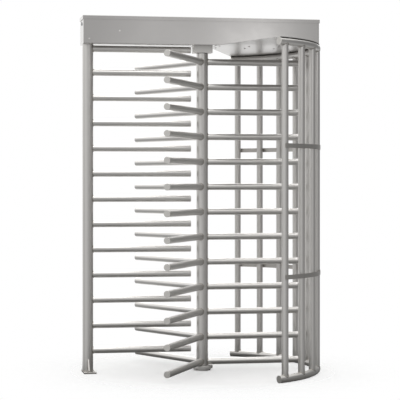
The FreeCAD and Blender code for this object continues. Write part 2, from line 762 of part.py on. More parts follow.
def released_pawl(pivot, outward, along, z):
    """The pawl, drawn with its tooth in a notch of the disc and then swung clear of it."""
    arm_v = disc_d / 2 + pawl_arm_gap
    tip_v = disc_d / 2 - pawl_tooth_deep
    wide = pawl_tooth_w / 2
    tooth = [along * u + outward * v for u, v in
             ((-wide * 0.8, tip_v), (wide * 0.8, tip_v), (wide, arm_v + 1), (-wide, arm_v + 1))]
    arm = lever(pivot, outward * (arm_v + pawl_w / 2), pawl_w, z, pawl_t)
    arm = arm.fuse(prism([(p.x, p.y) for p in tooth], z, pawl_t))
    arm.rotate(pivot, Z, -pawl_swing)
    tail_end = pivot - X * pawl_tail
    pawl = arm.fuse(lever(pivot, tail_end, pawl_w, z, pawl_t))
    pawl = pawl.fuse(rod(pawl_hub_d, Vector(pivot.x, pivot.y, z), Z, pawl_t))
    pawl = drilled(pawl, pawl_pin_d + 2 * run_clear, pivot.x, pivot.y, z - 1, z + pawl_t + 1)
    half = link_pin_d / 2 + link_clear
    slot = block(tail_end.x - link_slot / 2, tail_end.x + link_slot / 2, pivot.y - half, pivot.y + half,
                 z - 1, z + pawl_t + 1)
    return pawl.cut(slot).removeSplitter()


def locking():
    """Two pawls that stop the index disc, each with its pin, spring, solenoid and plunger."""
    z = mech_top + pawl_z
    a = math.radians(pawl_angle)
    outward = Vector(math.cos(a), math.sin(a), 0)
    along = Vector(math.sin(a), -math.cos(a), 0)
    pivot = outward * (disc_d / 2 + pawl_arm_gap + pawl_w / 2) + along * pawl_reach
    link_x = pivot.x - pawl_tail
    travel = pawl_tail * math.radians(pawl_swing)
    print("pawl pivot %.3f %.3f, plunger travel %.3f" % (pivot.x, pivot.y, travel))

    top = z + pawl_t + 2 * seat_clear + spring_pitch * spring_turns + spring_wire + 1
    pin = rod(pin_boss_d, Vector(pivot.x, pivot.y, mech_top), Z, z - seat_clear - mech_top)
    pin = pin.fuse(rod(pawl_pin_d, Vector(pivot.x, pivot.y, mech_top), Z, top - mech_top))
    pin = pin.fuse(rod(pin_head_d, Vector(pivot.x, pivot.y, top), Z, pin_head_h)).removeSplitter()

    middle = z + pawl_t / 2
    back = pivot.y - pawl_w / 2 - 2 * fork_gap
    face = back - fork_t - travel - fork_gap
    low = z - fork_gap - fork_t
    high = z + pawl_t + fork_gap
    fork = block(link_x - fork_w / 2, link_x + fork_w / 2, back - fork_t, back, low, high + fork_t)
    for plate_z in (low, high):
        fork = fork.fuse(block(link_x - fork_w / 2, link_x + fork_w / 2, back, pivot.y + fork_w / 2,
                               plate_z, plate_z + fork_t))
    fork = fork.fuse(rod(link_pin_d, Vector(link_x, pivot.y, low), Z, high + fork_t - low))
    stem = rod(plunger_d, Vector(link_x, back, middle), -Y, back - face + plunger_in)
    plunger = fork.fuse(stem).removeSplitter()
    solenoid = block(link_x - solenoid_w / 2, link_x + solenoid_w / 2, face - solenoid_l, face, mech_top,
                     middle + solenoid_w / 2)
    bore = rod(plunger_d + 2 * run_clear, Vector(link_x, face + 1, middle), -Y, plunger_in + travel + 2)
    solenoid = solenoid.cut(bore)

    pieces = {"lock_pawl": released_pawl(pivot, outward, along, z), "solenoid_plunger": plunger}
    for name, shape in pieces.items():
        save(name + "_entry", shape)
        save(name + "_exit", shape.mirror(O, Y))
    pairs = {"lock_pawl_pins": pin, "lock_pawl_springs": coil(pivot.x, pivot.y, z + pawl_t),
             "lock_solenoids": solenoid}
    for name, shape in pairs.items():
        save(name, shape, shape.mirror(O, Y))


def electrics():
    """The control box with its board and cover, and the power supply, on the header's floor."""
    y = control_w / 2
    x0 = control_x0
    x1 = control_x0 + control_l
    top = floor_z + control_h
    case = block(x0, x1, -y, y, floor_z, top)
    case = case.makeFillet(control_corner, upright_edges(case, control_h))
    case = case.cut(block(x0 + control_wall, x1 - control_wall, -y + control_wall, y - control_wall,
                          floor_z + control_wall, top + 1))
    save("control_box", case)
    cover = block(x0, x1, -y, y, top, top + control_cover_t)
    save("control_box_cover", cover.makeFillet(control_corner, upright_edges(cover, control_cover_t)))
    edge = control_wall + board_edge
    low = floor_z + control_wall
    save("control_board", block(x0 + edge, x1 - edge, -y + edge, y - edge, low, low + board_t))
    half = supply_w / 2
    top = floor_z + supply_h
    supply = block(supply_x0, supply_x0 + supply_l, -half, half, floor_z, top)
    step = supply_l / (supply_slots + 1)
    for i in range(supply_slots):
        x = supply_x0 + step * (i + 0.75)
        supply = supply.cut(block(x, x + step / 2, -0.75 * half, 0.75 * half, top - supply_slot_deep,
                                  top + 1))
    save("power_supply", supply)


os.makedirs("parts", exist_ok=True)
left_post()
barrier()
cage()
ceiling()
header()
lid()
lid_locks()
floor_pivot()
rotor()
upper_bearing()
mechanism()
drive()
locking()
electrics()
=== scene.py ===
# %% [markdown]
# A full height turnstile in satin stainless steel. The CAD model holds every load carrying piece at
# its real size, so this script only gives it a surface: what each piece is made of, the welds and
# fasteners that a drawing leaves out, and a plain studio to see it in. Lengths are metres, +Z is up
# and +Y points through the passage, away from the camera.
# %% Load the frame
import json
import math

import bmesh
import bpy
import numpy as np
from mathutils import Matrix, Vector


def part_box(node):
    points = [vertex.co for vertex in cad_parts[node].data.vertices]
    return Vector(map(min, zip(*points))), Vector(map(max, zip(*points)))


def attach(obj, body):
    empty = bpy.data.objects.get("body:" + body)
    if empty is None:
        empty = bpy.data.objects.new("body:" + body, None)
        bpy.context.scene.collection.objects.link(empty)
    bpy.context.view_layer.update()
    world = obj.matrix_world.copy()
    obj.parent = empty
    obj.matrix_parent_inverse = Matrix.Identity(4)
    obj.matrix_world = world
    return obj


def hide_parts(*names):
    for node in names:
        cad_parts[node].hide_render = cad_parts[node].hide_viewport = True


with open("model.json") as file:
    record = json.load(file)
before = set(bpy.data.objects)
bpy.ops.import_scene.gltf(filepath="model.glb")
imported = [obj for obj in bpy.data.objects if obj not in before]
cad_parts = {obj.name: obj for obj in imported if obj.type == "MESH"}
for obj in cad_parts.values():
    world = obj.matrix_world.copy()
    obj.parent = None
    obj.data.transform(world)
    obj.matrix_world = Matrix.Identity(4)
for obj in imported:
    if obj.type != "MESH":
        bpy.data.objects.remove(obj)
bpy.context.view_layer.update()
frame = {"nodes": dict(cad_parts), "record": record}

MM = 0.001

# %% [markdown]
# Four small helpers serve every material. Colours are given as sRGB hex values, but a renderer
# adds light up in linear values, so the first converts them. The second adds a node and wires it in
# a single call, which keeps a node tree readable as code. The third starts a material and hands
# back its shader, and the last wires a finish to that shader.
# %% Material helpers


def linear(hex_colour):
    """sRGB hex to linear RGBA: ((c + 0.055) / 1.055) to the power 2.4, or c / 12.92 where dark."""
    c = np.array([int(hex_colour[i:i + 2], 16) for i in (1, 3, 5)]) / 255
    return (*np.where(c <= 0.04045, c / 12.92, ((c + 0.055) / 1.055) ** 2.4).tolist(), 1.0)


def add_node(tree, kind, inputs=None, **settings):
    """Add a node, set its own settings, and give each named input a value or another's output."""
    node = tree.nodes.new(kind)
    for name, value in settings.items():
        setattr(node, name, value)
    for name, value in (inputs or {}).items():
        if isinstance(value, bpy.types.NodeSocket):
            tree.links.new(value, node.inputs[name])
        else:
            node.inputs[name].default_value = value
    return node


def start_material(name, metallic=0.0, roughness=0.5):
    """A new material with one Principled shader."""
    material = bpy.data.materials.new(name)
    material.use_nodes = True
    tree = material.node_tree
    tree.nodes.clear()
    shader = add_node(tree, "ShaderNodeBsdfPrincipled",
                      {"Metallic": metallic, "Roughness": roughness})
    add_node(tree, "ShaderNodeOutputMaterial", {"Surface": shader.outputs["BSDF"]})
    return material, tree, shader


def wire_finish(tree, shader, colour, tone, rough, relief):
    """Link a finish to its shader: the colour times the tone, the roughness and the relief."""
    shade = add_node(tree, "ShaderNodeMix",
                     {"Factor": 1.0, "A": linear(colour), "B": tone.outputs["Result"]},
                     data_type="RGBA", blend_type="MULTIPLY")
    tree.links.new(shade.outputs["Result"], shader.inputs["Base Color"])
    tree.links.new(rough.outputs["Result"], shader.inputs["Roughness"])
    tree.links.new(relief.outputs["Normal"], shader.inputs["Normal"])


print("sRGB grey #808080 is", round(linear("#808080")[0], 3), "in linear light")

# %% [markdown]
# Satin stainless tube is drawn tube that has been belt ground round its girth. Up close it has
# fine rings across its length, and from a step away they blur every reflection into a soft streak.
# A noise stretched along the rings and squeezed across them gives those lines. Real grit lines are
# about 0.1 mm apart, too fine to show, so they are drawn 0.9 mm apart. The same function does
# sheet, where the lines run along its length. A second, cloudy noise varies the roughness as
# handling does.
# %% Ground steel
GRIT_LINE = 0.9 * MM
GRIT_STRETCH = 60
GRIT_DEPTH = 0.3 * MM
GRIT_TONE = 0.03
HANDLING_PATCH = 180 * MM
HANDLING_ROUGH = 0.02


def grain_vector(tree, across, angle):
    """Object coordinates turned about Z, scaled so that noise is fine on one axis and else long."""
    place = add_node(tree, "ShaderNodeTexCoord").outputs["Object"]
    scale = [1 / (GRIT_LINE * GRIT_STRETCH)] * 3
    scale["XYZ".index(across)] = 1 / GRIT_LINE
    turned = add_node(tree, "ShaderNodeMapping", {"Vector": place, "Rotation": (0, 0, -angle)})
    return add_node(tree, "ShaderNodeMapping", {"Vector": turned.outputs["Vector"], "Scale": scale})


def arc_vector(tree, radius):
    """Coordinates along the cage's arc: angle times radius, the distance out, and the height."""
    place = add_node(tree, "ShaderNodeTexCoord").outputs["Object"]
    parts = add_node(tree, "ShaderNodeSeparateXYZ", {"Vector": place})
    turned = add_node(tree, "ShaderNodeMath", {0: parts.outputs["Y"], 1: parts.outputs["X"]},
                      operation="ARCTAN2")
    along = add_node(tree, "ShaderNodeMath", {0: turned.outputs[0], 1: radius / GRIT_LINE},
                     operation="MULTIPLY")
    out = add_node(tree, "ShaderNodeVectorMath", {0: place}, operation="LENGTH")
    coarse = 1 / (GRIT_LINE * GRIT_STRETCH)
    far = add_node(tree, "ShaderNodeMath", {0: out.outputs["Value"], 1: coarse},
                   operation="MULTIPLY")
    up = add_node(tree, "ShaderNodeMath", {0: parts.outputs["Z"], 1: coarse}, operation="MULTIPLY")
    return add_node(tree, "ShaderNodeCombineXYZ",
                    {"X": along.outputs[0], "Y": far.outputs[0], "Z": up.outputs[0]})


def ground_steel(name, colour, roughness, across="Z", angle=0.0, arc_radius=None, bump=0.05):
    """Ground stainless steel: fine lines in its bump and tone, and clouds in its roughness."""
    material, tree, shader = start_material(name, metallic=1.0)
    lines_at = arc_vector(tree, arc_radius) if arc_radius else grain_vector(tree, across, angle)
    lines = add_node(tree, "ShaderNodeTexNoise",
                     {"Vector": lines_at.outputs[0], "Scale": 1.0, "Detail": 3.0,
                      "Roughness": 0.65})
    place = add_node(tree, "ShaderNodeTexCoord").outputs["Object"]
    clouds = add_node(tree, "ShaderNodeTexNoise", {"Vector": place, "Scale": 1 / HANDLING_PATCH,
                                                   "Detail": 4.0, "Roughness": 0.6})
    rough = add_node(tree, "ShaderNodeMapRange",
                     {"Value": clouds.outputs["Fac"], "From Min": 0.3, "From Max": 0.7,
                      "To Min": roughness - HANDLING_ROUGH, "To Max": roughness + HANDLING_ROUGH})
    tone = add_node(tree, "ShaderNodeMapRange",
                    {"Value": lines.outputs["Fac"], "From Min": 0.25, "From Max": 0.75,
                     "To Min": 1 - GRIT_TONE, "To Max": 1 + GRIT_TONE})
    relief = add_node(tree, "ShaderNodeBump",
                      {"Height": lines.outputs["Fac"], "Strength": bump, "Distance": GRIT_DEPTH})
    wire_finish(tree, shader, colour, tone, rough, relief)
    return material


print("ground steel lines", GRIT_LINE / MM, "mm apart")

# %% [markdown]
# The tubes run along different lines, so each direction gets its own copy of the finish with the
# rings turned to match: upright tubes, bars along X, the two slanting wings, and the bent rails,
# whose rings follow the arc. The grey is a little warm and about as light as satin 304 steel.
# %% Tube finishes
TUBE_GREY = "#cfcdca"
SHEET_GREY = "#c8c6c4"
TUBE_ROUGHNESS = 0.305
WING_TURN = math.radians(120)

rail_low, rail_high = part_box("cage_top_rail")
RAIL_D = rail_high.z - rail_low.z
CAGE_R = rail_high.x - RAIL_D / 2

satin = {
    "upright": ground_steel("satin_stainless_upright_tube", TUBE_GREY, TUBE_ROUGHNESS, "Z"),
    "across": ground_steel("satin_stainless_cross_tube", TUBE_GREY, TUBE_ROUGHNESS, "X"),
    "wing_a": ground_steel("satin_stainless_wing_a_tube", TUBE_GREY, TUBE_ROUGHNESS, "X",
                           WING_TURN),
    "wing_b": ground_steel("satin_stainless_wing_b_tube", TUBE_GREY, TUBE_ROUGHNESS, "X",
                           -WING_TURN),
    "rail": ground_steel("satin_stainless_bent_rail", TUBE_GREY, TUBE_ROUGHNESS, arc_radius=CAGE_R),
}
print("cage radius", round(CAGE_R / MM, 1), "mm, rail", round(RAIL_D / MM, 1), "mm")

# %% [markdown]
# The header box and its lid are folded from sheet with a long grain. It is smoother than the
# tubes, so it shows a broad soft glow. The ceiling plate is about as rough as the tubes, and shows
# only a blurred image of those below it. The bent flat bands are hot rolled bar, ground along their
# length, and the end caps are discs that were sanded flat after welding.
# %% Sheet and bar finishes
header_sheet = ground_steel("brushed_stainless_header_sheet", SHEET_GREY, 0.20, "Z", bump=0.01)
ceiling_sheet = ground_steel("brushed_stainless_ceiling_sheet", SHEET_GREY, 0.32, "Y", bump=0.015)
flat_bar = ground_steel("ground_stainless_flat_bar", "#bbb8b4", 0.32, "Z", bump=0.06)
tube_end_cap = ground_steel("sanded_stainless_end_cap", "#cac8c4", 0.34, "Y", bump=0.04)
print(len(satin) + 4, "ground finishes")

# %% [markdown]
# Everything else is one of a few plain workshop finishes: turned and milled steel, zinc plate,
# cast aluminium, bronze, enamel and moulded plastic. They differ in colour, in roughness and in the
# size and depth of their texture, so one function makes them all from a noise of a real size.
# %% Workshop finishes
GRAIN_ROUGH = 0.03
GRAIN_BUMP = 0.25


def grained(name, colour, metallic, roughness, grain, depth, tint=0.06,
            pattern="ShaderNodeTexNoise", output="Fac"):
    """A finish whose texture of a real grain size moves tone, roughness and height together."""
    material, tree, shader = start_material(name, metallic=metallic)
    place = add_node(tree, "ShaderNodeTexCoord").outputs["Object"]
    height = add_node(tree, pattern, {"Vector": place, "Scale": 1 / grain}).outputs[output]
    tone = add_node(tree, "ShaderNodeMapRange", {"Value": height, "From Min": 0.2, "From Max": 0.8,
                                                 "To Min": 1 - tint, "To Max": 1 + tint})
    rough = add_node(tree, "ShaderNodeMapRange",
                     {"Value": height, "From Min": 0.2, "From Max": 0.8,
                      "To Min": roughness - GRAIN_ROUGH, "To Max": roughness + GRAIN_ROUGH})
    relief = add_node(tree, "ShaderNodeBump",
                      {"Height": height, "Strength": GRAIN_BUMP, "Distance": depth})
    wire_finish(tree, shader, colour, tone, rough, relief)
    return material


print("workshop finishes vary by", GRAIN_ROUGH, "in roughness")

# %% [markdown]
# Each finish is filed under the material slot that it is for. The numbers are how metallic it is,
# how rough, the size of its grain and the depth of it. A ground surface has a grain under a
# millimetre and hardly any depth, a casting has a coarser and deeper one. Spangle, the frosty
# pattern on zinc plate, is a Voronoi pattern of flat cells.
# %% Finishes by slot
plain = {
    "cast_base": grained("blasted_stainless_plate", "#dddbd8", 1.0, 0.50, 1.2 * MM, 0.08 * MM),
    "fastener": grained("a2_stainless_screw", "#b4b2ae", 1.0, 0.32, 0.8 * MM, 0.03 * MM),
    "hinge_steel": grained("pressed_stainless_hinge", "#b2b0ad", 1.0, 0.33, 1.2 * MM, 0.04 * MM),
    "lock_chrome": grained("chromed_zinc_lock", "#cfd0d2", 1.0, 0.14, 1.5 * MM, 0.02 * MM, 0.02),
    "machined_steel": grained("turned_mild_steel", "#9b9a98", 1.0, 0.32, 0.6 * MM, 0.04 * MM),
    "bearing_steel": grained("ground_bearing_steel", "#b5b6b8", 1.0, 0.16, 0.8 * MM, 0.02 * MM,
                             0.03),
    "bronze": grained("sintered_bronze", "#a8753c", 1.0, 0.38, 0.7 * MM, 0.05 * MM),
    "gear_steel": grained("hobbed_gear_steel", "#84837f", 1.0, 0.32, 0.7 * MM, 0.05 * MM),
    "zinc_plate": grained("bright_zinc_plate", "#a9adae", 1.0, 0.33, 14 * MM, 0.03 * MM, 0.10,
                          "ShaderNodeTexVoronoi", "Color"),
    "drive_housing": grained("die_cast_aluminium", "#a7a8a8", 1.0, 0.48, 1.4 * MM, 0.15 * MM),
    "motor_paint": grained("black_motor_enamel", "#1d1d1f", 0.0, 0.42, 2.0 * MM, 0.08 * MM, 0.15),
    "solenoid_case": grained("black_oxide_solenoid_frame", "#2a2a2b", 0.6, 0.44, 1.0 * MM,
                             0.05 * MM, 0.15),
    "control_case": grained("grey_moulded_abs", "#9fa09d", 0.0, 0.52, 0.9 * MM, 0.06 * MM, 0.03),
    "circuit_board": grained("green_solder_mask", "#16512c", 0.0, 0.30, 3.5 * MM, 0.05 * MM, 0.12),
    "supply_case": grained("mill_finish_aluminium", "#aeb0b1", 1.0, 0.40, 1.6 * MM, 0.05 * MM),
    "header_sheet": header_sheet,
    "ceiling_sheet": ceiling_sheet,
    "flat_bar": flat_bar,
    "tube_end_cap": tube_end_cap,
    "satin_tube": satin["upright"],
}
print(len(plain), "finishes by slot")

# %% [markdown]
# The record names a material slot for each CAD node, so the finishes are handed out by slot. Tubes
# that don't stand upright are an exception, and get the copy whose rings run the right way. So is
# the thrust washer under the column, which looks like turned steel.
# %% Dress the CAD nodes
by_node = {
    "barrier_bars": satin["across"],
    "rotor_wing_c": satin["across"],
    "rotor_wing_a": satin["wing_a"],
    "rotor_wing_b": satin["wing_b"],
    "cage_top_rail": satin["rail"],
    "cage_bottom_rail": satin["rail"],
    "lower_thrust_washer": plain["machined_steel"],
}


def dress(piece, material):
    """Give a piece one material."""
    piece.data.materials.clear()
    piece.data.materials.append(material)


for part in frame["record"]["subparts"]:
    dress(frame["nodes"][part["node"]], by_node.get(part["node"], plain[part["material_slot"]]))

# %% [markdown]
# Every new piece here is a skin: rings of points, laid one after another. A weld bead is a ring of
# its cross section carried round a seam; a screw is a ring whose radius follows a profile up its
# axis. The rings are worked out as whole arrays. One function then joins neighbouring rings with
# four sided faces, closes open ends with one flat face, and turns all faces outwards.
# %% Skins


def ring_faces(rows, sides, wrap):
    """Faces between rings: each quad takes two points of a ring and the same two of the next."""
    point = np.arange(sides)
    after = np.roll(point, -1)
    low = np.arange(rows if wrap else rows - 1)[:, None]
    high = (low + 1) % rows
    quads = np.stack(np.broadcast_arrays(low * sides + point, low * sides + after,
                                         high * sides + after, high * sides + point), -1)
    faces = quads.reshape(-1, 4).tolist()
    if not wrap:
        faces += [point[::-1].tolist(), (point + (rows - 1) * sides).tolist()]
    return faces


def make_piece(name, skins, wrap, material, body, sharp=40):
    """One mesh from arrays of rings (rows, sides, 3), on its body, with its finish."""
    points = np.concatenate([skin.reshape(-1, 3) for skin in skins])
    faces = []
    start = 0
    for skin in skins:
        rows, sides = skin.shape[:2]
        faces += [[start + i for i in face] for face in ring_faces(rows, sides, wrap)]
        start += rows * sides
    mesh = bpy.data.meshes.new(name)
    mesh.from_pydata(points.tolist(), [], faces)
    shell = bmesh.new()
    shell.from_mesh(mesh)
    bmesh.ops.recalc_face_normals(shell, faces=shell.faces)
    shell.to_mesh(mesh)
    shell.free()
    mesh.polygons.foreach_set("use_smooth", np.ones(len(mesh.polygons), bool))
    mesh.set_sharp_from_angle(angle=math.radians(sharp))
    piece = bpy.data.objects.new(name, mesh)
    bpy.context.scene.collection.objects.link(piece)
    dress(piece, material)
    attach(piece, body)
    print(name, len(skins), "skins,", len(mesh.polygons), "faces")
    return piece


def turn(points, angle):
    """Points turned about Z: x' = x cos a - y sin a, y' = x sin a + y cos a."""
    c, s = math.cos(angle), math.sin(angle)
    return points @ np.array([[c, s, 0], [-s, c, 0], [0, 0, 1]])


def unit(vectors):
    """Vectors scaled to length one."""
    return vectors / np.linalg.norm(vectors, axis=-1, keepdims=True)


print("a closed skin of 4 rings of 8 points has", len(ring_faces(4, 8, True)), "faces")

# %% [markdown]
# A weld bead is the one thing that tells a made object from a drawn one. The bead sits in the
# corner between two tubes and its centre line is the curve where they meet. Along it the welder's
# steps leave small ripples, like a stack of leaning coins, so the bead's size rises and falls once
# per step. The ring's plane is square to the seam: one axis is the average of the two surfaces'
# outward directions, the other is square to that. An open bead tapers at both ends.
# %% Weld beads
BEAD = 3.2 * MM
BEAD_SIDES = 8
RIPPLE = 4.5 * MM
RIPPLE_ROWS = 4
RIPPLE_SWELL = 0.11
TAPER_SWELL, TAPER_LEAST = 2.2, 0.25


def bead(path, outward, closed, size=BEAD):
    """A bead along a path: point + size * swell * (cos v * out + sin v * side)."""
    along = unit(np.gradient(path, axis=0))
    if closed:
        along = unit(np.roll(path, -1, 0) - np.roll(path, 1, 0))
    out = unit(outward - (outward * along).sum(-1, keepdims=True) * along)
    side = np.cross(along, out)
    row = np.arange(len(path))
    swell = 1 + RIPPLE_SWELL * np.cos(2 * np.pi * row / RIPPLE_ROWS)
    if not closed:
        run = row / (len(path) - 1)
        taper = TAPER_SWELL * np.sqrt(np.clip(run * (1 - run), 0, None))
        swell = swell * np.clip(taper, TAPER_LEAST, 1)
    around = np.linspace(0, 2 * np.pi, BEAD_SIDES, endpoint=False)[:, None]
    ring = np.cos(around) * out[:, None, :] + np.sin(around) * side[:, None, :]
    return path[:, None, :] + size * swell[:, None, None] * ring


def seam_angles(radius):
    """Angles round a seam of that radius, with a whole number of ripples of about their length."""
    ripples = round(2 * np.pi * radius / RIPPLE)
    return np.linspace(0, 2 * np.pi, ripples * RIPPLE_ROWS, endpoint=False)


def saddle(bar_r, post_r, height):
    """A level bar on an upright post: y = r cos u, z = r sin u, x = root of (R R - y y)."""
    u = seam_angles(bar_r)
    y, z = bar_r * np.cos(u), bar_r * np.sin(u)
    x = np.sqrt(post_r ** 2 - y ** 2)
    path = np.stack((x, y, z + height), -1)
    from_post = np.stack((x, y, 0 * z), -1) / post_r
    from_bar = np.stack((0 * x, y, z), -1) / bar_r
    return bead(path, from_post + from_bar, True)


weld_steel = grained("brushed_tig_weld", "#a5a19b", 1.0, 0.40, 1.1 * MM, 0.10 * MM, 0.10)
print("weld bead", 2 * BEAD / MM, "mm wide, a ripple every", RIPPLE / MM, "mm")

# %% [markdown]
# The arms are welded to the column with a bead right round each. The arm's diameter, lowest
# height and pitch are read back from the wing that lies along X, and the welds of the other two
# wings are that wing's, turned.
# %% Arm welds
ARM_COUNT = 13
wing_low, wing_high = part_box("rotor_wing_c")
ARM_D = wing_high.y - wing_low.y
COLUMN_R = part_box("rotor_column")[1].x
arm_z = np.linspace(wing_low.z + ARM_D / 2, wing_high.z - ARM_D / 2, ARM_COUNT)
for wing, angle in (("a", WING_TURN), ("b", -WING_TURN), ("c", 0.0)):
    welds = [turn(saddle(ARM_D / 2, COLUMN_R, z), angle) for z in arm_z]
    make_piece("arm_welds_" + wing, welds, True, weld_steel, "rotor")
print("arm pitch", round((arm_z[1] - arm_z[0]) / MM, 1), "mm")

# %% [markdown]
# The comb bars meet the left post in the same curve, moved out to the post. Their spacing is the
# arms', half a pitch up, and the last bar sits close under the header.
# %% Comb bar welds
post_low, post_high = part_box("left_post")
bars_low, bars_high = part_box("barrier_bars")
POST_X = (post_low.x + post_high.x) / 2
POST_R = (post_high.x - post_low.x) / 2
bar_z = np.append(bars_low.z + ARM_D / 2 + (arm_z - arm_z[0])[:-1], bars_high.z - ARM_D / 2)
comb_welds = [saddle(ARM_D / 2, POST_R, z) + (POST_X, 0, 0) for z in bar_z]
make_piece("comb_bar_welds", comb_welds, True, weld_steel, "frame")

# %% [markdown]
# Each cage post ends on the bent rails. There the seam is a circle round the post, seen from above,
# that drops over the rail: at a distance d from the rail's centre line its height is the root of
# (r squared - d squared) from the rail's axis.
# %% Cage post welds
CAGE_POSTS = 10
CAGE_STEP = math.radians(13.03)
CAGE_BEAD = 2.8 * MM
low_rail_z = RAIL_D / 2
top_rail_z = (rail_low.z + rail_high.z) / 2


def post_seam(angle, rail_z, upwards):
    """The seam between an upright post and a bent rail, above the rail (1) or below it (-1)."""
    u = seam_angles(ARM_D / 2)
    x, y = CAGE_R + ARM_D / 2 * np.cos(u), ARM_D / 2 * np.sin(u)
    reach = np.hypot(x, y)
    away = reach - CAGE_R
    lift = upwards * np.sqrt((RAIL_D / 2) ** 2 - away ** 2)
    path = np.stack((x, y, rail_z + lift), -1)
    from_post = np.stack((np.cos(u), np.sin(u), 0 * u), -1)
    from_rail = np.stack((away * x / reach, away * y / reach, lift), -1) / (RAIL_D / 2)
    return turn(bead(path, from_post + from_rail, True, CAGE_BEAD), angle)


post_angles = CAGE_STEP * (np.arange(CAGE_POSTS) - (CAGE_POSTS - 1) / 2)
cage_welds = [post_seam(angle, z, upwards) for angle in post_angles
              for z, upwards in ((low_rail_z, 1), (top_rail_z, -1))]
make_piece("cage_post_welds", cage_welds, True, weld_steel, "frame")

# %% [markdown]
# The flat bands outside the cage are held with a short tack above and below on every post. A tack
# is a bead with tapered ends, wrapped a little way round the post on the band's edge.
# %% Band tacks
TACK_HALF = math.radians(28)
TACK_ROWS = 17
TACK_BEAD = 2.4 * MM
w = np.linspace(-TACK_HALF, TACK_HALF, TACK_ROWS)
x, y = CAGE_R + ARM_D / 2 * np.cos(w), ARM_D / 2 * np.sin(w)
tacks = []
for band in ("cage_lower_band", "cage_upper_band"):
    band_low, band_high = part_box(band)
    for z, upwards in ((band_low.z, -1.0), (band_high.z, 1.0)):
        path = np.stack((x, y, 0 * w + z), -1)
        out = np.stack((np.cos(w), np.sin(w), 0 * w + upwards), -1)
        tacks += [turn(bead(path, out, False, TACK_BEAD), angle) for angle in post_angles]
make_piece("band_tack_welds", tacks, False, weld_steel, "frame")

# %% [markdown]
# The left post stands on its plate in a bead as well: a plain circle. The two gussets get straight
# beads on both faces: along the plate, and up the post's side.
# %% Foot welds
BASE_T = 12 * MM
GUSSET_T = 8 * MM
GUSSET_L = 38 * MM
GUSSET_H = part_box("left_base_plate")[1].z - BASE_T
FOOT_BEAD, PLATE_BEAD, SIDE_BEAD = 4 * MM, 3 * MM, 2.6 * MM
START_GAP, END_GAP = 3 * MM, 2 * MM


def circle_bead(x, y, z, radius, size):
    """A bead in the corner between a level plate and an upright tube."""
    u = seam_angles(radius)
    path = np.stack((x + radius * np.cos(u), y + radius * np.sin(u), 0 * u + z), -1)
    return bead(path, np.stack((np.cos(u), np.sin(u), 0 * u + 1), -1), True, size)


def straight_bead(start, end, outward, size):
    """A bead with tapered ends along a straight seam."""
    start, end = np.array(start), np.array(end)
    ripples = max(3, round(np.linalg.norm(end - start) / RIPPLE))
    run = np.linspace(0, 1, ripples * RIPPLE_ROWS + 1)[:, None]
    path = start + (end - start) * run
    return bead(path, np.broadcast_to(np.array(outward, float), path.shape), False, size)


foot_weld = [circle_bead(POST_X, 0, BASE_T, POST_R, FOOT_BEAD)]
make_piece("post_foot_weld", foot_weld, True, weld_steel, "frame")
gusset_welds = []
for way in (-1, 1):
    for face in (-1, 1):
        x = POST_X + face * GUSSET_T / 2
        near, far = way * (POST_R + START_GAP), way * (POST_R + GUSSET_L - END_GAP)
        low, high = BASE_T + START_GAP, BASE_T + GUSSET_H - END_GAP
        at = way * math.sqrt(POST_R ** 2 - (GUSSET_T / 2) ** 2)
        gusset_welds += [
            straight_bead((x, near, BASE_T), (x, far, BASE_T), (face, 0, 1), PLATE_BEAD),
            straight_bead((x, at, low), (x, at, high), (face, way, 0), SIDE_BEAD)]
make_piece("gusset_welds", gusset_welds, False, weld_steel, "frame")

# %% [markdown]
# The ceiling plate lies on the top rail, and is stitched to it from outside: short beads with gaps,
# because a run right round would warp the thin plate.
# %% Ceiling stitches
STITCHES = 9
STITCH_REACH = math.radians(56)
STITCH_HALF = 17 * MM
STITCH_ROWS = 33
STITCH_BEAD = 2.2 * MM
SEAM_OUT = 9.5 * MM
seam_r = CAGE_R + SEAM_OUT
seam_z = rail_high.z - (RAIL_D / 2 - math.sqrt((RAIL_D / 2) ** 2 - SEAM_OUT ** 2)) / 2
stitches = []
for middle in np.linspace(-1, 1, STITCHES) * STITCH_REACH:
    a = middle + np.linspace(-1, 1, STITCH_ROWS) * STITCH_HALF / seam_r
    path = np.stack((seam_r * np.cos(a), seam_r * np.sin(a), 0 * a + seam_z), -1)
    out = np.stack((np.cos(a), np.sin(a), 0 * a), -1)
    stitches.append(bead(path, out, False, STITCH_BEAD))
make_piece("ceiling_stitch_welds", stitches, False, weld_steel, "frame")

# %% [markdown]
# A screw is a profile turned on a lathe, except for its socket, which is a hexagon. So each ring
# has a radius, a height and a share of hexagon: a hexagon's edge is at r / cos(a), where a is the
# angle from the middle of its nearest side. The rows are millimetres, as on a screw's drawing, and
# become metres at the end.
# %% Screw profiles
SCREW_SIDES = 24
SOCKET = 0.36


def turned_skin(profile, axis_point, along):
    """Rings about an axis from rows of radius, height and hexagon share: r * ring + h * along."""
    radius, height, hexagon = np.array(profile, float).T
    a = np.linspace(0, 2 * np.pi, SCREW_SIDES, endpoint=False)
    from_side = (a % (np.pi / 3)) - np.pi / 6
    shape = 1 + hexagon[:, None] * (1 / np.cos(from_side) - 1)
    along = unit(np.array(along, float))
    side = unit(np.cross(along, (0, 0, 1) if abs(along[2]) < 0.9 else (1, 0, 0)))
    up = np.cross(along, side)
    ring = np.cos(a)[:, None] * side + np.sin(a)[:, None] * up
    rings = (radius[:, None] * shape)[..., None] * ring[None] + height[:, None, None] * along
    return rings * MM + np.array(axis_point)


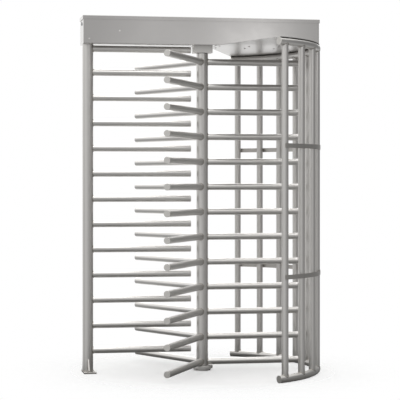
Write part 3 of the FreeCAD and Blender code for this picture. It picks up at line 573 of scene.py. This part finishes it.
def button_dome(head_r, head_h):
    """Millimetre rows of a button head's dome (r cos(1.15 t) to the power 0.8) and its socket."""
    rows = [(head_r, 0.15 * head_h, 0)]
    rows += [(head_r * math.cos(t * 1.15) ** 0.8, head_h * math.sin(t * math.pi / 2), 0)
             for t in np.linspace(0.3, 0.95, 5)]
    socket = head_r * SOCKET
    return rows + [(socket * 1.12, head_h, 1), (socket, head_h * 0.94, 1),
                   (socket, head_h * 0.4, 1), (socket * 0.3, head_h * 0.25, 1)]


def button_screw(head_r, head_h, shank_r, shank_l, threads=0):
    """Millimetre rows of a whole button head screw: tip, threads, shank and head."""
    rows = [(shank_r * 0.7, -shank_l, 0), (shank_r * 0.86, -shank_l + 0.6, 0)]
    for i in range(threads):
        z = -shank_l + 1 + i
        rows += [(shank_r * 0.86, z, 0), (shank_r, z + 0.5, 0)]
    rows += [(shank_r, -0.6, 0), (shank_r, 0, 0), (head_r * 0.96, 0, 0)]
    return rows + button_dome(head_r, head_h)


print("a button head has", len(button_dome(6, 3.4)), "rings of", SCREW_SIDES, "points")

# %% [markdown]
# Eight button heads hold the ceiling plate to the header from below, in two rows. With the face
# screws of the next cell they replace the plain screws of the CAD model.
# %% Ceiling plate screws
CEILING_SCREW_Y = 62 * MM
SCREW_COLUMNS = 4
FIRST_SCREW, LAST_SCREW = 26 * MM, 66 * MM
PLATE_PAST_RAIL = 18 * MM
ceiling_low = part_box("ceiling_plate")[0]
plate_right = CAGE_R + PLATE_PAST_RAIL
screw_x = np.linspace(ceiling_low.x + FIRST_SCREW, plate_right - LAST_SCREW, SCREW_COLUMNS)
ceiling_screw = button_screw(head_r=6, head_h=3.4, shank_r=3, shank_l=10.4, threads=8)
heads = [turned_skin(ceiling_screw, (x, y, ceiling_low.z), (0, 0, -1))
         for x in screw_x for y in (-CEILING_SCREW_Y, CEILING_SCREW_Y)]
screws = make_piece("header_button_screws", heads, False, plain["fastener"], "frame",
                    35)
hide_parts("header_screws")

# %% [markdown]
# The two small screws in the header's front face are electropolished and smooth. Their near-white
# colour is partly a painted glint, lighter than polished steel itself. It keeps them brighter than
# the brushed sheet around them, and from a few metres away that is all the eye gets of them.
# %% Face screws
FACE_SCREWS = ((POST_X, 29 * MM), (-560 * MM, 82 * MM))
header_low, header_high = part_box("header_box")
face_screw = button_screw(head_r=4.0, head_h=2.0, shank_r=1.4, shank_l=1.5)
face_heads = [turned_skin(face_screw, (x, header_low.y, header_low.z + up), (0, -1, 0))
              for x, up in FACE_SCREWS]
# The near-white colour is a painted glint, lighter than the polished steel itself.
polished_screw_painted_glint = grained("electropolished_screw_painted_glint", "#f1efec", 1.0, 0.20, 0.8 * MM,
                       0.01 * MM, 0.03)
make_piece("header_face_screws", face_heads, False, polished_screw_painted_glint, "frame", 35)

# %% [markdown]
# The hinge leaves at the back are held by countersunk screws. Their heads are flush, so all that
# shows is a shallow cone, a flat top and a socket. Three go in each fixed leaf and two in each
# moving leaf.
# %% Hinge screws
FLUSH = [(0.9, -1.2, 0), (1.6, -1.0, 0), (3.6, -0.1, 0), (3.7, 0.12, 0),
         (1.5, 0.14, 1), (1.4, 0.1, 1), (1.4, -0.8, 1), (0.4, -0.9, 1)]    # radius, height, hexagon
HINGE_T = 1.5 * MM
HINGE_MIDDLES = (-520 * MM, 0.0, 520 * MM)
FIXED_SPREAD, FIXED_UP = 27 * MM, 11 * MM
MOVING_SPREAD, MOVING_IN = 7 * MM, 9 * MM
fixed_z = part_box("lid_hinge_fixed_leaves")[0].z + FIXED_UP
moving_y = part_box("lid_hinge_moving_leaves")[0].y + MOVING_IN
lid_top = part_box("lid")[1].z
fixed = [turned_skin(FLUSH, (x + dx, header_high.y + HINGE_T, fixed_z), (0, 1, 0))
         for x in HINGE_MIDDLES for dx in (-FIXED_SPREAD, 0, FIXED_SPREAD)]
moving = [turned_skin(FLUSH, (x + dx, moving_y, lid_top + HINGE_T), (0, 0, 1))
          for x in HINGE_MIDDLES for dx in (-MOVING_SPREAD, MOVING_SPREAD)]
make_piece("hinge_fixed_screws", fixed, False, plain["fastener"], "frame", 30)
make_piece("hinge_moving_screws", moving, False, plain["fastener"], "lid", 30)

# %% [markdown]
# With the lid up the machinery shows, and screws are what make it look assembled. They are heads
# without shanks, sunk a hair into what they hold down: cap heads on the gear, the gearbox and the
# motor, and domed heads on the mechanism plate, the control box and the solenoids.
# %% Screw heads without shanks
SUNK = 0.05
CAP_SOCKET = 0.48


def cap_head(head_r, head_h):
    """Millimetre rows of a socket cap head: a straight side, a broken edge and the socket."""
    socket = head_r * CAP_SOCKET
    return [(head_r, -SUNK, 0), (head_r, head_h * 0.9, 0), (head_r * 0.93, head_h, 0),
            (socket * 1.08, head_h, 1), (socket, head_h * 0.94, 1), (socket, head_h * 0.35, 1),
            (socket * 0.3, head_h * 0.25, 1)]


def dome_head(head_r, head_h):
    """Millimetre rows of a button head without its shank."""
    return [(head_r * 0.96, -SUNK, 0)] + button_dome(head_r, head_h)


def on_circle(x, radius, count, first=0.0):
    """Places evenly round a circle whose middle is on the X axis: x + r cos a, r sin a."""
    a = first + 2 * np.pi * np.arange(count) / count
    return np.stack((x + radius * np.cos(a), radius * np.sin(a)), -1)


def corners(node, inset):
    """The four corners of a node's box seen from above, moved in, and the height of its top."""
    low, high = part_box(node)
    return [(x, y) for x in (low.x + inset, high.x - inset)
            for y in (low.y + inset, high.y - inset)], high.z


def heads_at(places, z, rows):
    """One head at each place, all at one height and pointing up."""
    return [turned_skin(rows, (x, y, z), (0, 0, 1)) for x, y in places]


print("a cap head has", len(cap_head(3.4, 3.2)), "rings, a domed head", len(dome_head(5.2, 2.8)))

# %% [markdown]
# The heads go where such parts are held: in the corners of a plate or a cover, on a bolt circle
# round the gearbox's rim and the motor's end, and in pairs on a solenoid. The gear's own screws
# turn with it, so they ride on the rotor.
# %% Machinery screws
PLATE_HEAD, COVER_HEAD, SOLENOID_HEAD = (5.2, 2.8), (3.2, 1.9), (2.1, 1.3)    # radius, height
RIM_HEAD, MOTOR_HEAD, GEAR_HEAD = (2.0, 2.2), (2.6, 2.6), (3.4, 3.2)
PLATE_INSET, COVER_INSET = 14 * MM, 8 * MM
RIM_OUT, MOTOR_CIRCLE, GEAR_CIRCLE = 2.6 * MM, 0.7, 38 * MM
SOLENOID_IN, SOLENOID_SPREAD = 19 * MM, 11 * MM
gearbox_low, gearbox_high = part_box("drive_gearbox")
motor_low, motor_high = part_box("drive_motor")
DRIVE_X = (gearbox_low.x + gearbox_high.x) / 2
MOTOR_R = (motor_high.x - motor_low.x) / 2
rim = on_circle(DRIVE_X, MOTOR_R + RIM_OUT, count=6, first=0.3)
motor_end = on_circle(DRIVE_X, MOTOR_R * MOTOR_CIRCLE, count=4, first=0.8)
solenoid_low, solenoid_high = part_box("lock_solenoids")
solenoid_x = (solenoid_low.x + solenoid_high.x) / 2
solenoid_places = [(solenoid_x + dx, way * (solenoid_high.y - SOLENOID_IN))
                   for dx in (-SOLENOID_SPREAD, SOLENOID_SPREAD) for way in (-1, 1)]
machinery = heads_at(*corners("mechanism_plate", PLATE_INSET), dome_head(*PLATE_HEAD))
machinery += heads_at(rim, gearbox_high.z, cap_head(*RIM_HEAD))
machinery += heads_at(motor_end, motor_high.z, cap_head(*MOTOR_HEAD))
machinery += heads_at(*corners("control_box_cover", COVER_INSET), dome_head(*COVER_HEAD))
machinery += heads_at(solenoid_places, solenoid_high.z, dome_head(*SOLENOID_HEAD))
make_piece("machinery_screws", machinery, False, plain["fastener"], "frame", 35)
gear_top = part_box("rotor_gear")[1].z
gear_heads = heads_at(on_circle(0, GEAR_CIRCLE, count=6), gear_top, cap_head(*GEAR_HEAD))
make_piece("gear_screws", gear_heads, False, plain["fastener"], "rotor", 35)

# %% [markdown]
# The motor's body is a finned casting. A fin is a flat ring, closed on itself, whose inner edge
# lies inside the body. Its section is in millimetres, as a screw's rows are.
# %% Motor fins
FIN_T, FIN_OUT, FIN_IN, FIN_STEP = 1.4, 1.6, 0.3, 4.4
FIN_FROM, FIN_TO = 5.0, 40.0
inner, outer = MOTOR_R / MM - FIN_IN, MOTOR_R / MM + FIN_OUT
fin_skins = []
for z in np.arange(FIN_FROM, FIN_TO, FIN_STEP):
    section = [(inner, z, 0), (outer, z, 0), (outer, z + FIN_T, 0), (inner, z + FIN_T, 0)]
    fin_skins.append(turned_skin(section, (DRIVE_X, 0, motor_low.z), (0, 0, 1)))
make_piece("motor_fins", fin_skins, True, plain["motor_paint"], "frame", 30)

# %% [markdown]
# The power supply has a strip of screw terminals on its end. The strip is one bar whose height
# steps up at each partition between terminals, and the partitions lean a little, as moulded walls
# do.
# %% Supply terminals
TERMINALS, TERMINAL_PITCH = 7, 9.5 * MM
STRIP_DEEP, STRIP_Z, STRIP_LOW, STRIP_TALL = 10 * MM, 12 * MM, 8 * MM, 12 * MM
FOOT, CREST = 0.95 * MM, 0.75 * MM
TERMINAL_HEAD = (2.9, 1.6)
supply_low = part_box("power_supply")[0]
edges = (np.arange(TERMINALS + 1) - TERMINALS / 2) * TERMINAL_PITCH
strip_y = np.sort(np.concatenate((edges - FOOT, edges - CREST, edges + CREST, edges + FOOT)))[1:-1]
tall = np.tile([0, 1, 1, 0], TERMINALS + 1)[1:-1]
strip_x = supply_low.x - STRIP_DEEP
strip_z = supply_low.z + STRIP_Z
top = strip_z + np.where(tall, STRIP_TALL, STRIP_LOW)
bottom = np.full(len(strip_y), strip_z)
outline = ((strip_x, bottom), (supply_low.x, bottom), (supply_low.x, top), (strip_x, top))
strip = np.stack([np.stack((np.full(len(strip_y), x), strip_y, z), -1) for x, z in outline], 1)
make_piece("supply_terminal_strip", [strip], False, plain["motor_paint"], "frame",
           30)
terminals = [(strip_x + STRIP_DEEP / 2, y) for y in (edges[:-1] + edges[1:]) / 2]
terminal_heads = heads_at(terminals, strip_z + STRIP_LOW, dome_head(*TERMINAL_HEAD))
make_piece("supply_terminal_screws", terminal_heads, False, plain["fastener"], "frame",
           35)

# %% [markdown]
# The studio. A satin tube shows its roundness only if the room around it isn't the same on all
# sides. So reflections see a room: dim walls at the sides, a wall in front that is bright on the
# left, a bright screen behind the object, a soft light above, and a ground that is dark except at
# the back. Each part is a mask, and each mask is a direction's dot product with the ray, brought
# smoothly from one level to another. Everything else is plain white: the light itself, what the
# camera sees, as on a seamless backdrop, and what lies behind anything clear.
# %% World
MASKS = {    # direction, the dot products between which it changes, and the level at each of them
    "sides": ((1, 0, 0), -0.7, 0.3, 0.42, 0.25),
    "front_wall": ((1, 0, 0), -0.8, 0.8, 0.77, 0.38),
    "floor_tone": ((-0.05, 1, 0), 0.6, 1.0, 0.44, 1.55),
    "in_front": ((0, 1, 0), 0.2, -0.6, 0, 1),
    "on_screen": ((-0.35, 0.93, 0.10), 0.45, 1.0, 0, 1),
    "overhead": ((-0.30, 0.10, 1), 0.16, 0.50, 0, 1),
    "in_sky": ((0, 0, 1), -0.05, 0.30, 0, 1),
    "below": ((0, 0, 1), -0.02, -0.40, 0, 1),
}
SCREEN = 1.05
SKY = 1.25
PLAIN_WHITE = 1.0

world = bpy.data.worlds.new("studio_room")
bpy.context.scene.world = world
world.use_nodes = True
world.cycles.sampling_method = "NONE"
room = world.node_tree
room.nodes.clear()
ray = add_node(room, "ShaderNodeTexCoord").outputs["Generated"]
mask = {}
for name, (way, start, end, low, high) in MASKS.items():
    facing = add_node(room, "ShaderNodeVectorMath", {0: ray, 1: way}, operation="DOT_PRODUCT")
    mask[name] = add_node(room, "ShaderNodeMapRange",
                          {"Value": facing.outputs["Value"], "From Min": start, "From Max": end,
                           "To Min": low, "To Max": high},
                          interpolation_type="SMOOTHSTEP").outputs["Result"]
sky = add_node(room, "ShaderNodeMath", {0: mask["overhead"], 1: mask["in_sky"]},
               operation="MULTIPLY").outputs[0]
level = mask["sides"]
for where, wall in ((mask["in_front"], mask["front_wall"]), (mask["on_screen"], SCREEN),
                    (sky, SKY), (mask["below"], mask["floor_tone"])):
    level = add_node(room, "ShaderNodeMix",
                     {"Factor": where, "A": level, "B": wall}).outputs["Result"]
kind = add_node(room, "ShaderNodeLightPath").outputs
reflected = add_node(room, "ShaderNodeMix",
                     {"Factor": kind["Is Glossy Ray"], "A": PLAIN_WHITE, "B": level})
seen = add_node(room, "ShaderNodeMath", {0: kind["Is Camera Ray"], 1: kind["Is Transmission Ray"]},
                operation="MAXIMUM")
strength = add_node(room, "ShaderNodeMix",
                    {"Factor": seen.outputs[0], "A": reflected.outputs["Result"],
                     "B": PLAIN_WHITE})
background = add_node(room, "ShaderNodeBackground",
                      {"Color": (1, 1, 1, 1), "Strength": strength.outputs["Result"]})
add_node(room, "ShaderNodeOutputWorld", {"Surface": background.outputs["Background"]})
print(len(MASKS), "masks in the room")

# %% [markdown]
# The floor is a pale matt disc that fades out towards its rim, so that it holds the object's soft
# shadow and leaves no horizon line behind it. The camera sees it at most six tenths solid, which
# keeps that shadow light. Reflections see a wider and much darker disc, as if the shadow were
# deeper, because the undersides of the lowest tubes are dark.
# %% Floor
FLOOR_R, CENTRE_R, FLOOR_SIDES = 1.5, 0.02, 96
FADE_FROM, SHADE_FROM, FADE_TO = 0.2, 0.8, 1.4
FLOOR_COVER = 0.6
ring_r = np.array([CENTRE_R, FLOOR_R])[:, None]
floor_a = np.linspace(0, 2 * np.pi, FLOOR_SIDES, endpoint=False)
flat = np.zeros((2, FLOOR_SIDES))
disc = np.stack((ring_r * np.cos(floor_a), ring_r * np.sin(floor_a), flat), -1)
floor_mesh = bpy.data.meshes.new("floor")
floor_mesh.from_pydata(disc.reshape(-1, 3).tolist(), [], ring_faces(2, FLOOR_SIDES, False)[:-1])
floor = bpy.data.objects.new("floor", floor_mesh)
bpy.context.scene.collection.objects.link(floor)
pale, floor_tree, floor_shader = start_material("pale_matt_floor", roughness=0.9)
in_metal = add_node(floor_tree, "ShaderNodeLightPath").outputs["Is Glossy Ray"]
paint = add_node(floor_tree, "ShaderNodeMix",
                 {"Factor": in_metal, "A": linear("#fcfcfb"), "B": linear("#7f7f7e")},
                 data_type="RGBA")
start = add_node(floor_tree, "ShaderNodeMix",
                 {"Factor": in_metal, "A": FADE_FROM, "B": SHADE_FROM})
cover = add_node(floor_tree, "ShaderNodeMix", {"Factor": in_metal, "A": FLOOR_COVER, "B": 1.0})
place = add_node(floor_tree, "ShaderNodeTexCoord").outputs["Object"]
distance = add_node(floor_tree, "ShaderNodeVectorMath", {0: place}, operation="LENGTH")
fade = add_node(floor_tree, "ShaderNodeMapRange",
                {"Value": distance.outputs["Value"], "From Min": start.outputs["Result"],
                 "From Max": FADE_TO, "To Min": cover.outputs["Result"], "To Max": 0.0},
                interpolation_type="SMOOTHSTEP")
floor_tree.links.new(paint.outputs["Result"], floor_shader.inputs["Base Color"])
floor_tree.links.new(fade.outputs["Result"], floor_shader.inputs["Alpha"])
dress(floor, pale)
print("floor", 2 * FLOOR_R, "m across")

# %% [markdown]
# Two weak soft boxes stand in front to the right, outside the picture. The header's face mirrors
# them, so it gets one broad glow a third of the way along and a stronger one past the middle.
# %% Soft boxes
SOFT_BOX_SIZE = 0.7
SOFT_BOXES = (("near_glow", (0.51, -5.0, 2.62), (-0.33, -0.09, 2.2), 0.55),
              ("main_glow", (1.50, -5.0, 2.62), (0.30, -0.09, 2.2), 1.5))


def hang_lamp(name, place, turned, width, depth, watts):
    """A rectangular area lamp that the camera doesn't see."""
    light = bpy.data.lights.new(name, "AREA")
    light.shape = "RECTANGLE"
    light.size, light.size_y = width, depth
    light.energy = watts
    lamp = bpy.data.objects.new(name, light)
    lamp.location = place
    lamp.rotation_euler = turned
    lamp.visible_camera = False
    bpy.context.scene.collection.objects.link(lamp)
    return lamp


for name, place, target, watts in SOFT_BOXES:
    aim = np.array(target) - np.array(place)
    turned = (math.atan2(np.hypot(aim[0], aim[1]), -aim[2]), 0,
              math.atan2(aim[1], aim[0]) - math.pi / 2)
    hang_lamp(name, place, turned, SOFT_BOX_SIZE, SOFT_BOX_SIZE, watts)
print(len(SOFT_BOXES), "soft boxes")

# %% [markdown]
# One large lamp hangs over the object and another stands high behind it. Together they turn the
# upper side of every level tube white, as the picture shows. Only the tubes, their caps and the
# bent bands take their light. The flat tops of the lid and the ceiling plate would mirror a whole
# lamp and turn plain white.
# %% Lamps for the tubes
ROUND_SLOTS = ("satin_tube", "tube_end_cap", "flat_bar")
TUBE_LAMPS = (("overhead_lamp", (0, 0, 5.5), (4.0, 6.0), 0.0, 2.2),
              ("rear_lamp", (0, 5.0, 5.0), (7.0, 4.0), -math.pi / 2, 2.0))
round_pieces = bpy.data.collections.new("round_pieces")
for part in frame["record"]["subparts"]:
    if part["material_slot"] in ROUND_SLOTS:
        round_pieces.objects.link(frame["nodes"][part["node"]])
for name, place, (width, depth), tilt, bright in TUBE_LAMPS:
    lamp = hang_lamp(name, place, (tilt, 0, 0), width, depth, bright * math.pi * width * depth)
    lamp.light_linking.receiver_collection = round_pieces

# %% [markdown]
# The camera stands almost nine metres away, level, at chest height and to the left of the object.
# Its frame is shifted sideways, as a view camera's is, which keeps the header nearly level while
# the cage shows its depth.
# %% Camera
CAMERA_AT = (-1.820, -8.788, 1.2315)
CAMERA_YAW = math.radians(9.09)
LENS, SENSOR = 122.6, 36
SHIFT_X, SHIFT_Y = 0.15, -0.043
camera_data = bpy.data.cameras.new("camera")
camera_data.sensor_width = SENSOR
camera_data.lens = LENS
camera_data.shift_x, camera_data.shift_y = SHIFT_X, SHIFT_Y
camera = bpy.data.objects.new("camera", camera_data)
camera.location = CAMERA_AT
camera.rotation_euler = (math.pi / 2, 0, -CAMERA_YAW)
bpy.context.scene.collection.objects.link(camera)
bpy.context.scene.camera = camera
bpy.context.scene.view_settings.view_transform = "Standard"
print("camera", round(math.hypot(*CAMERA_AT[:2]), 2), "m away")
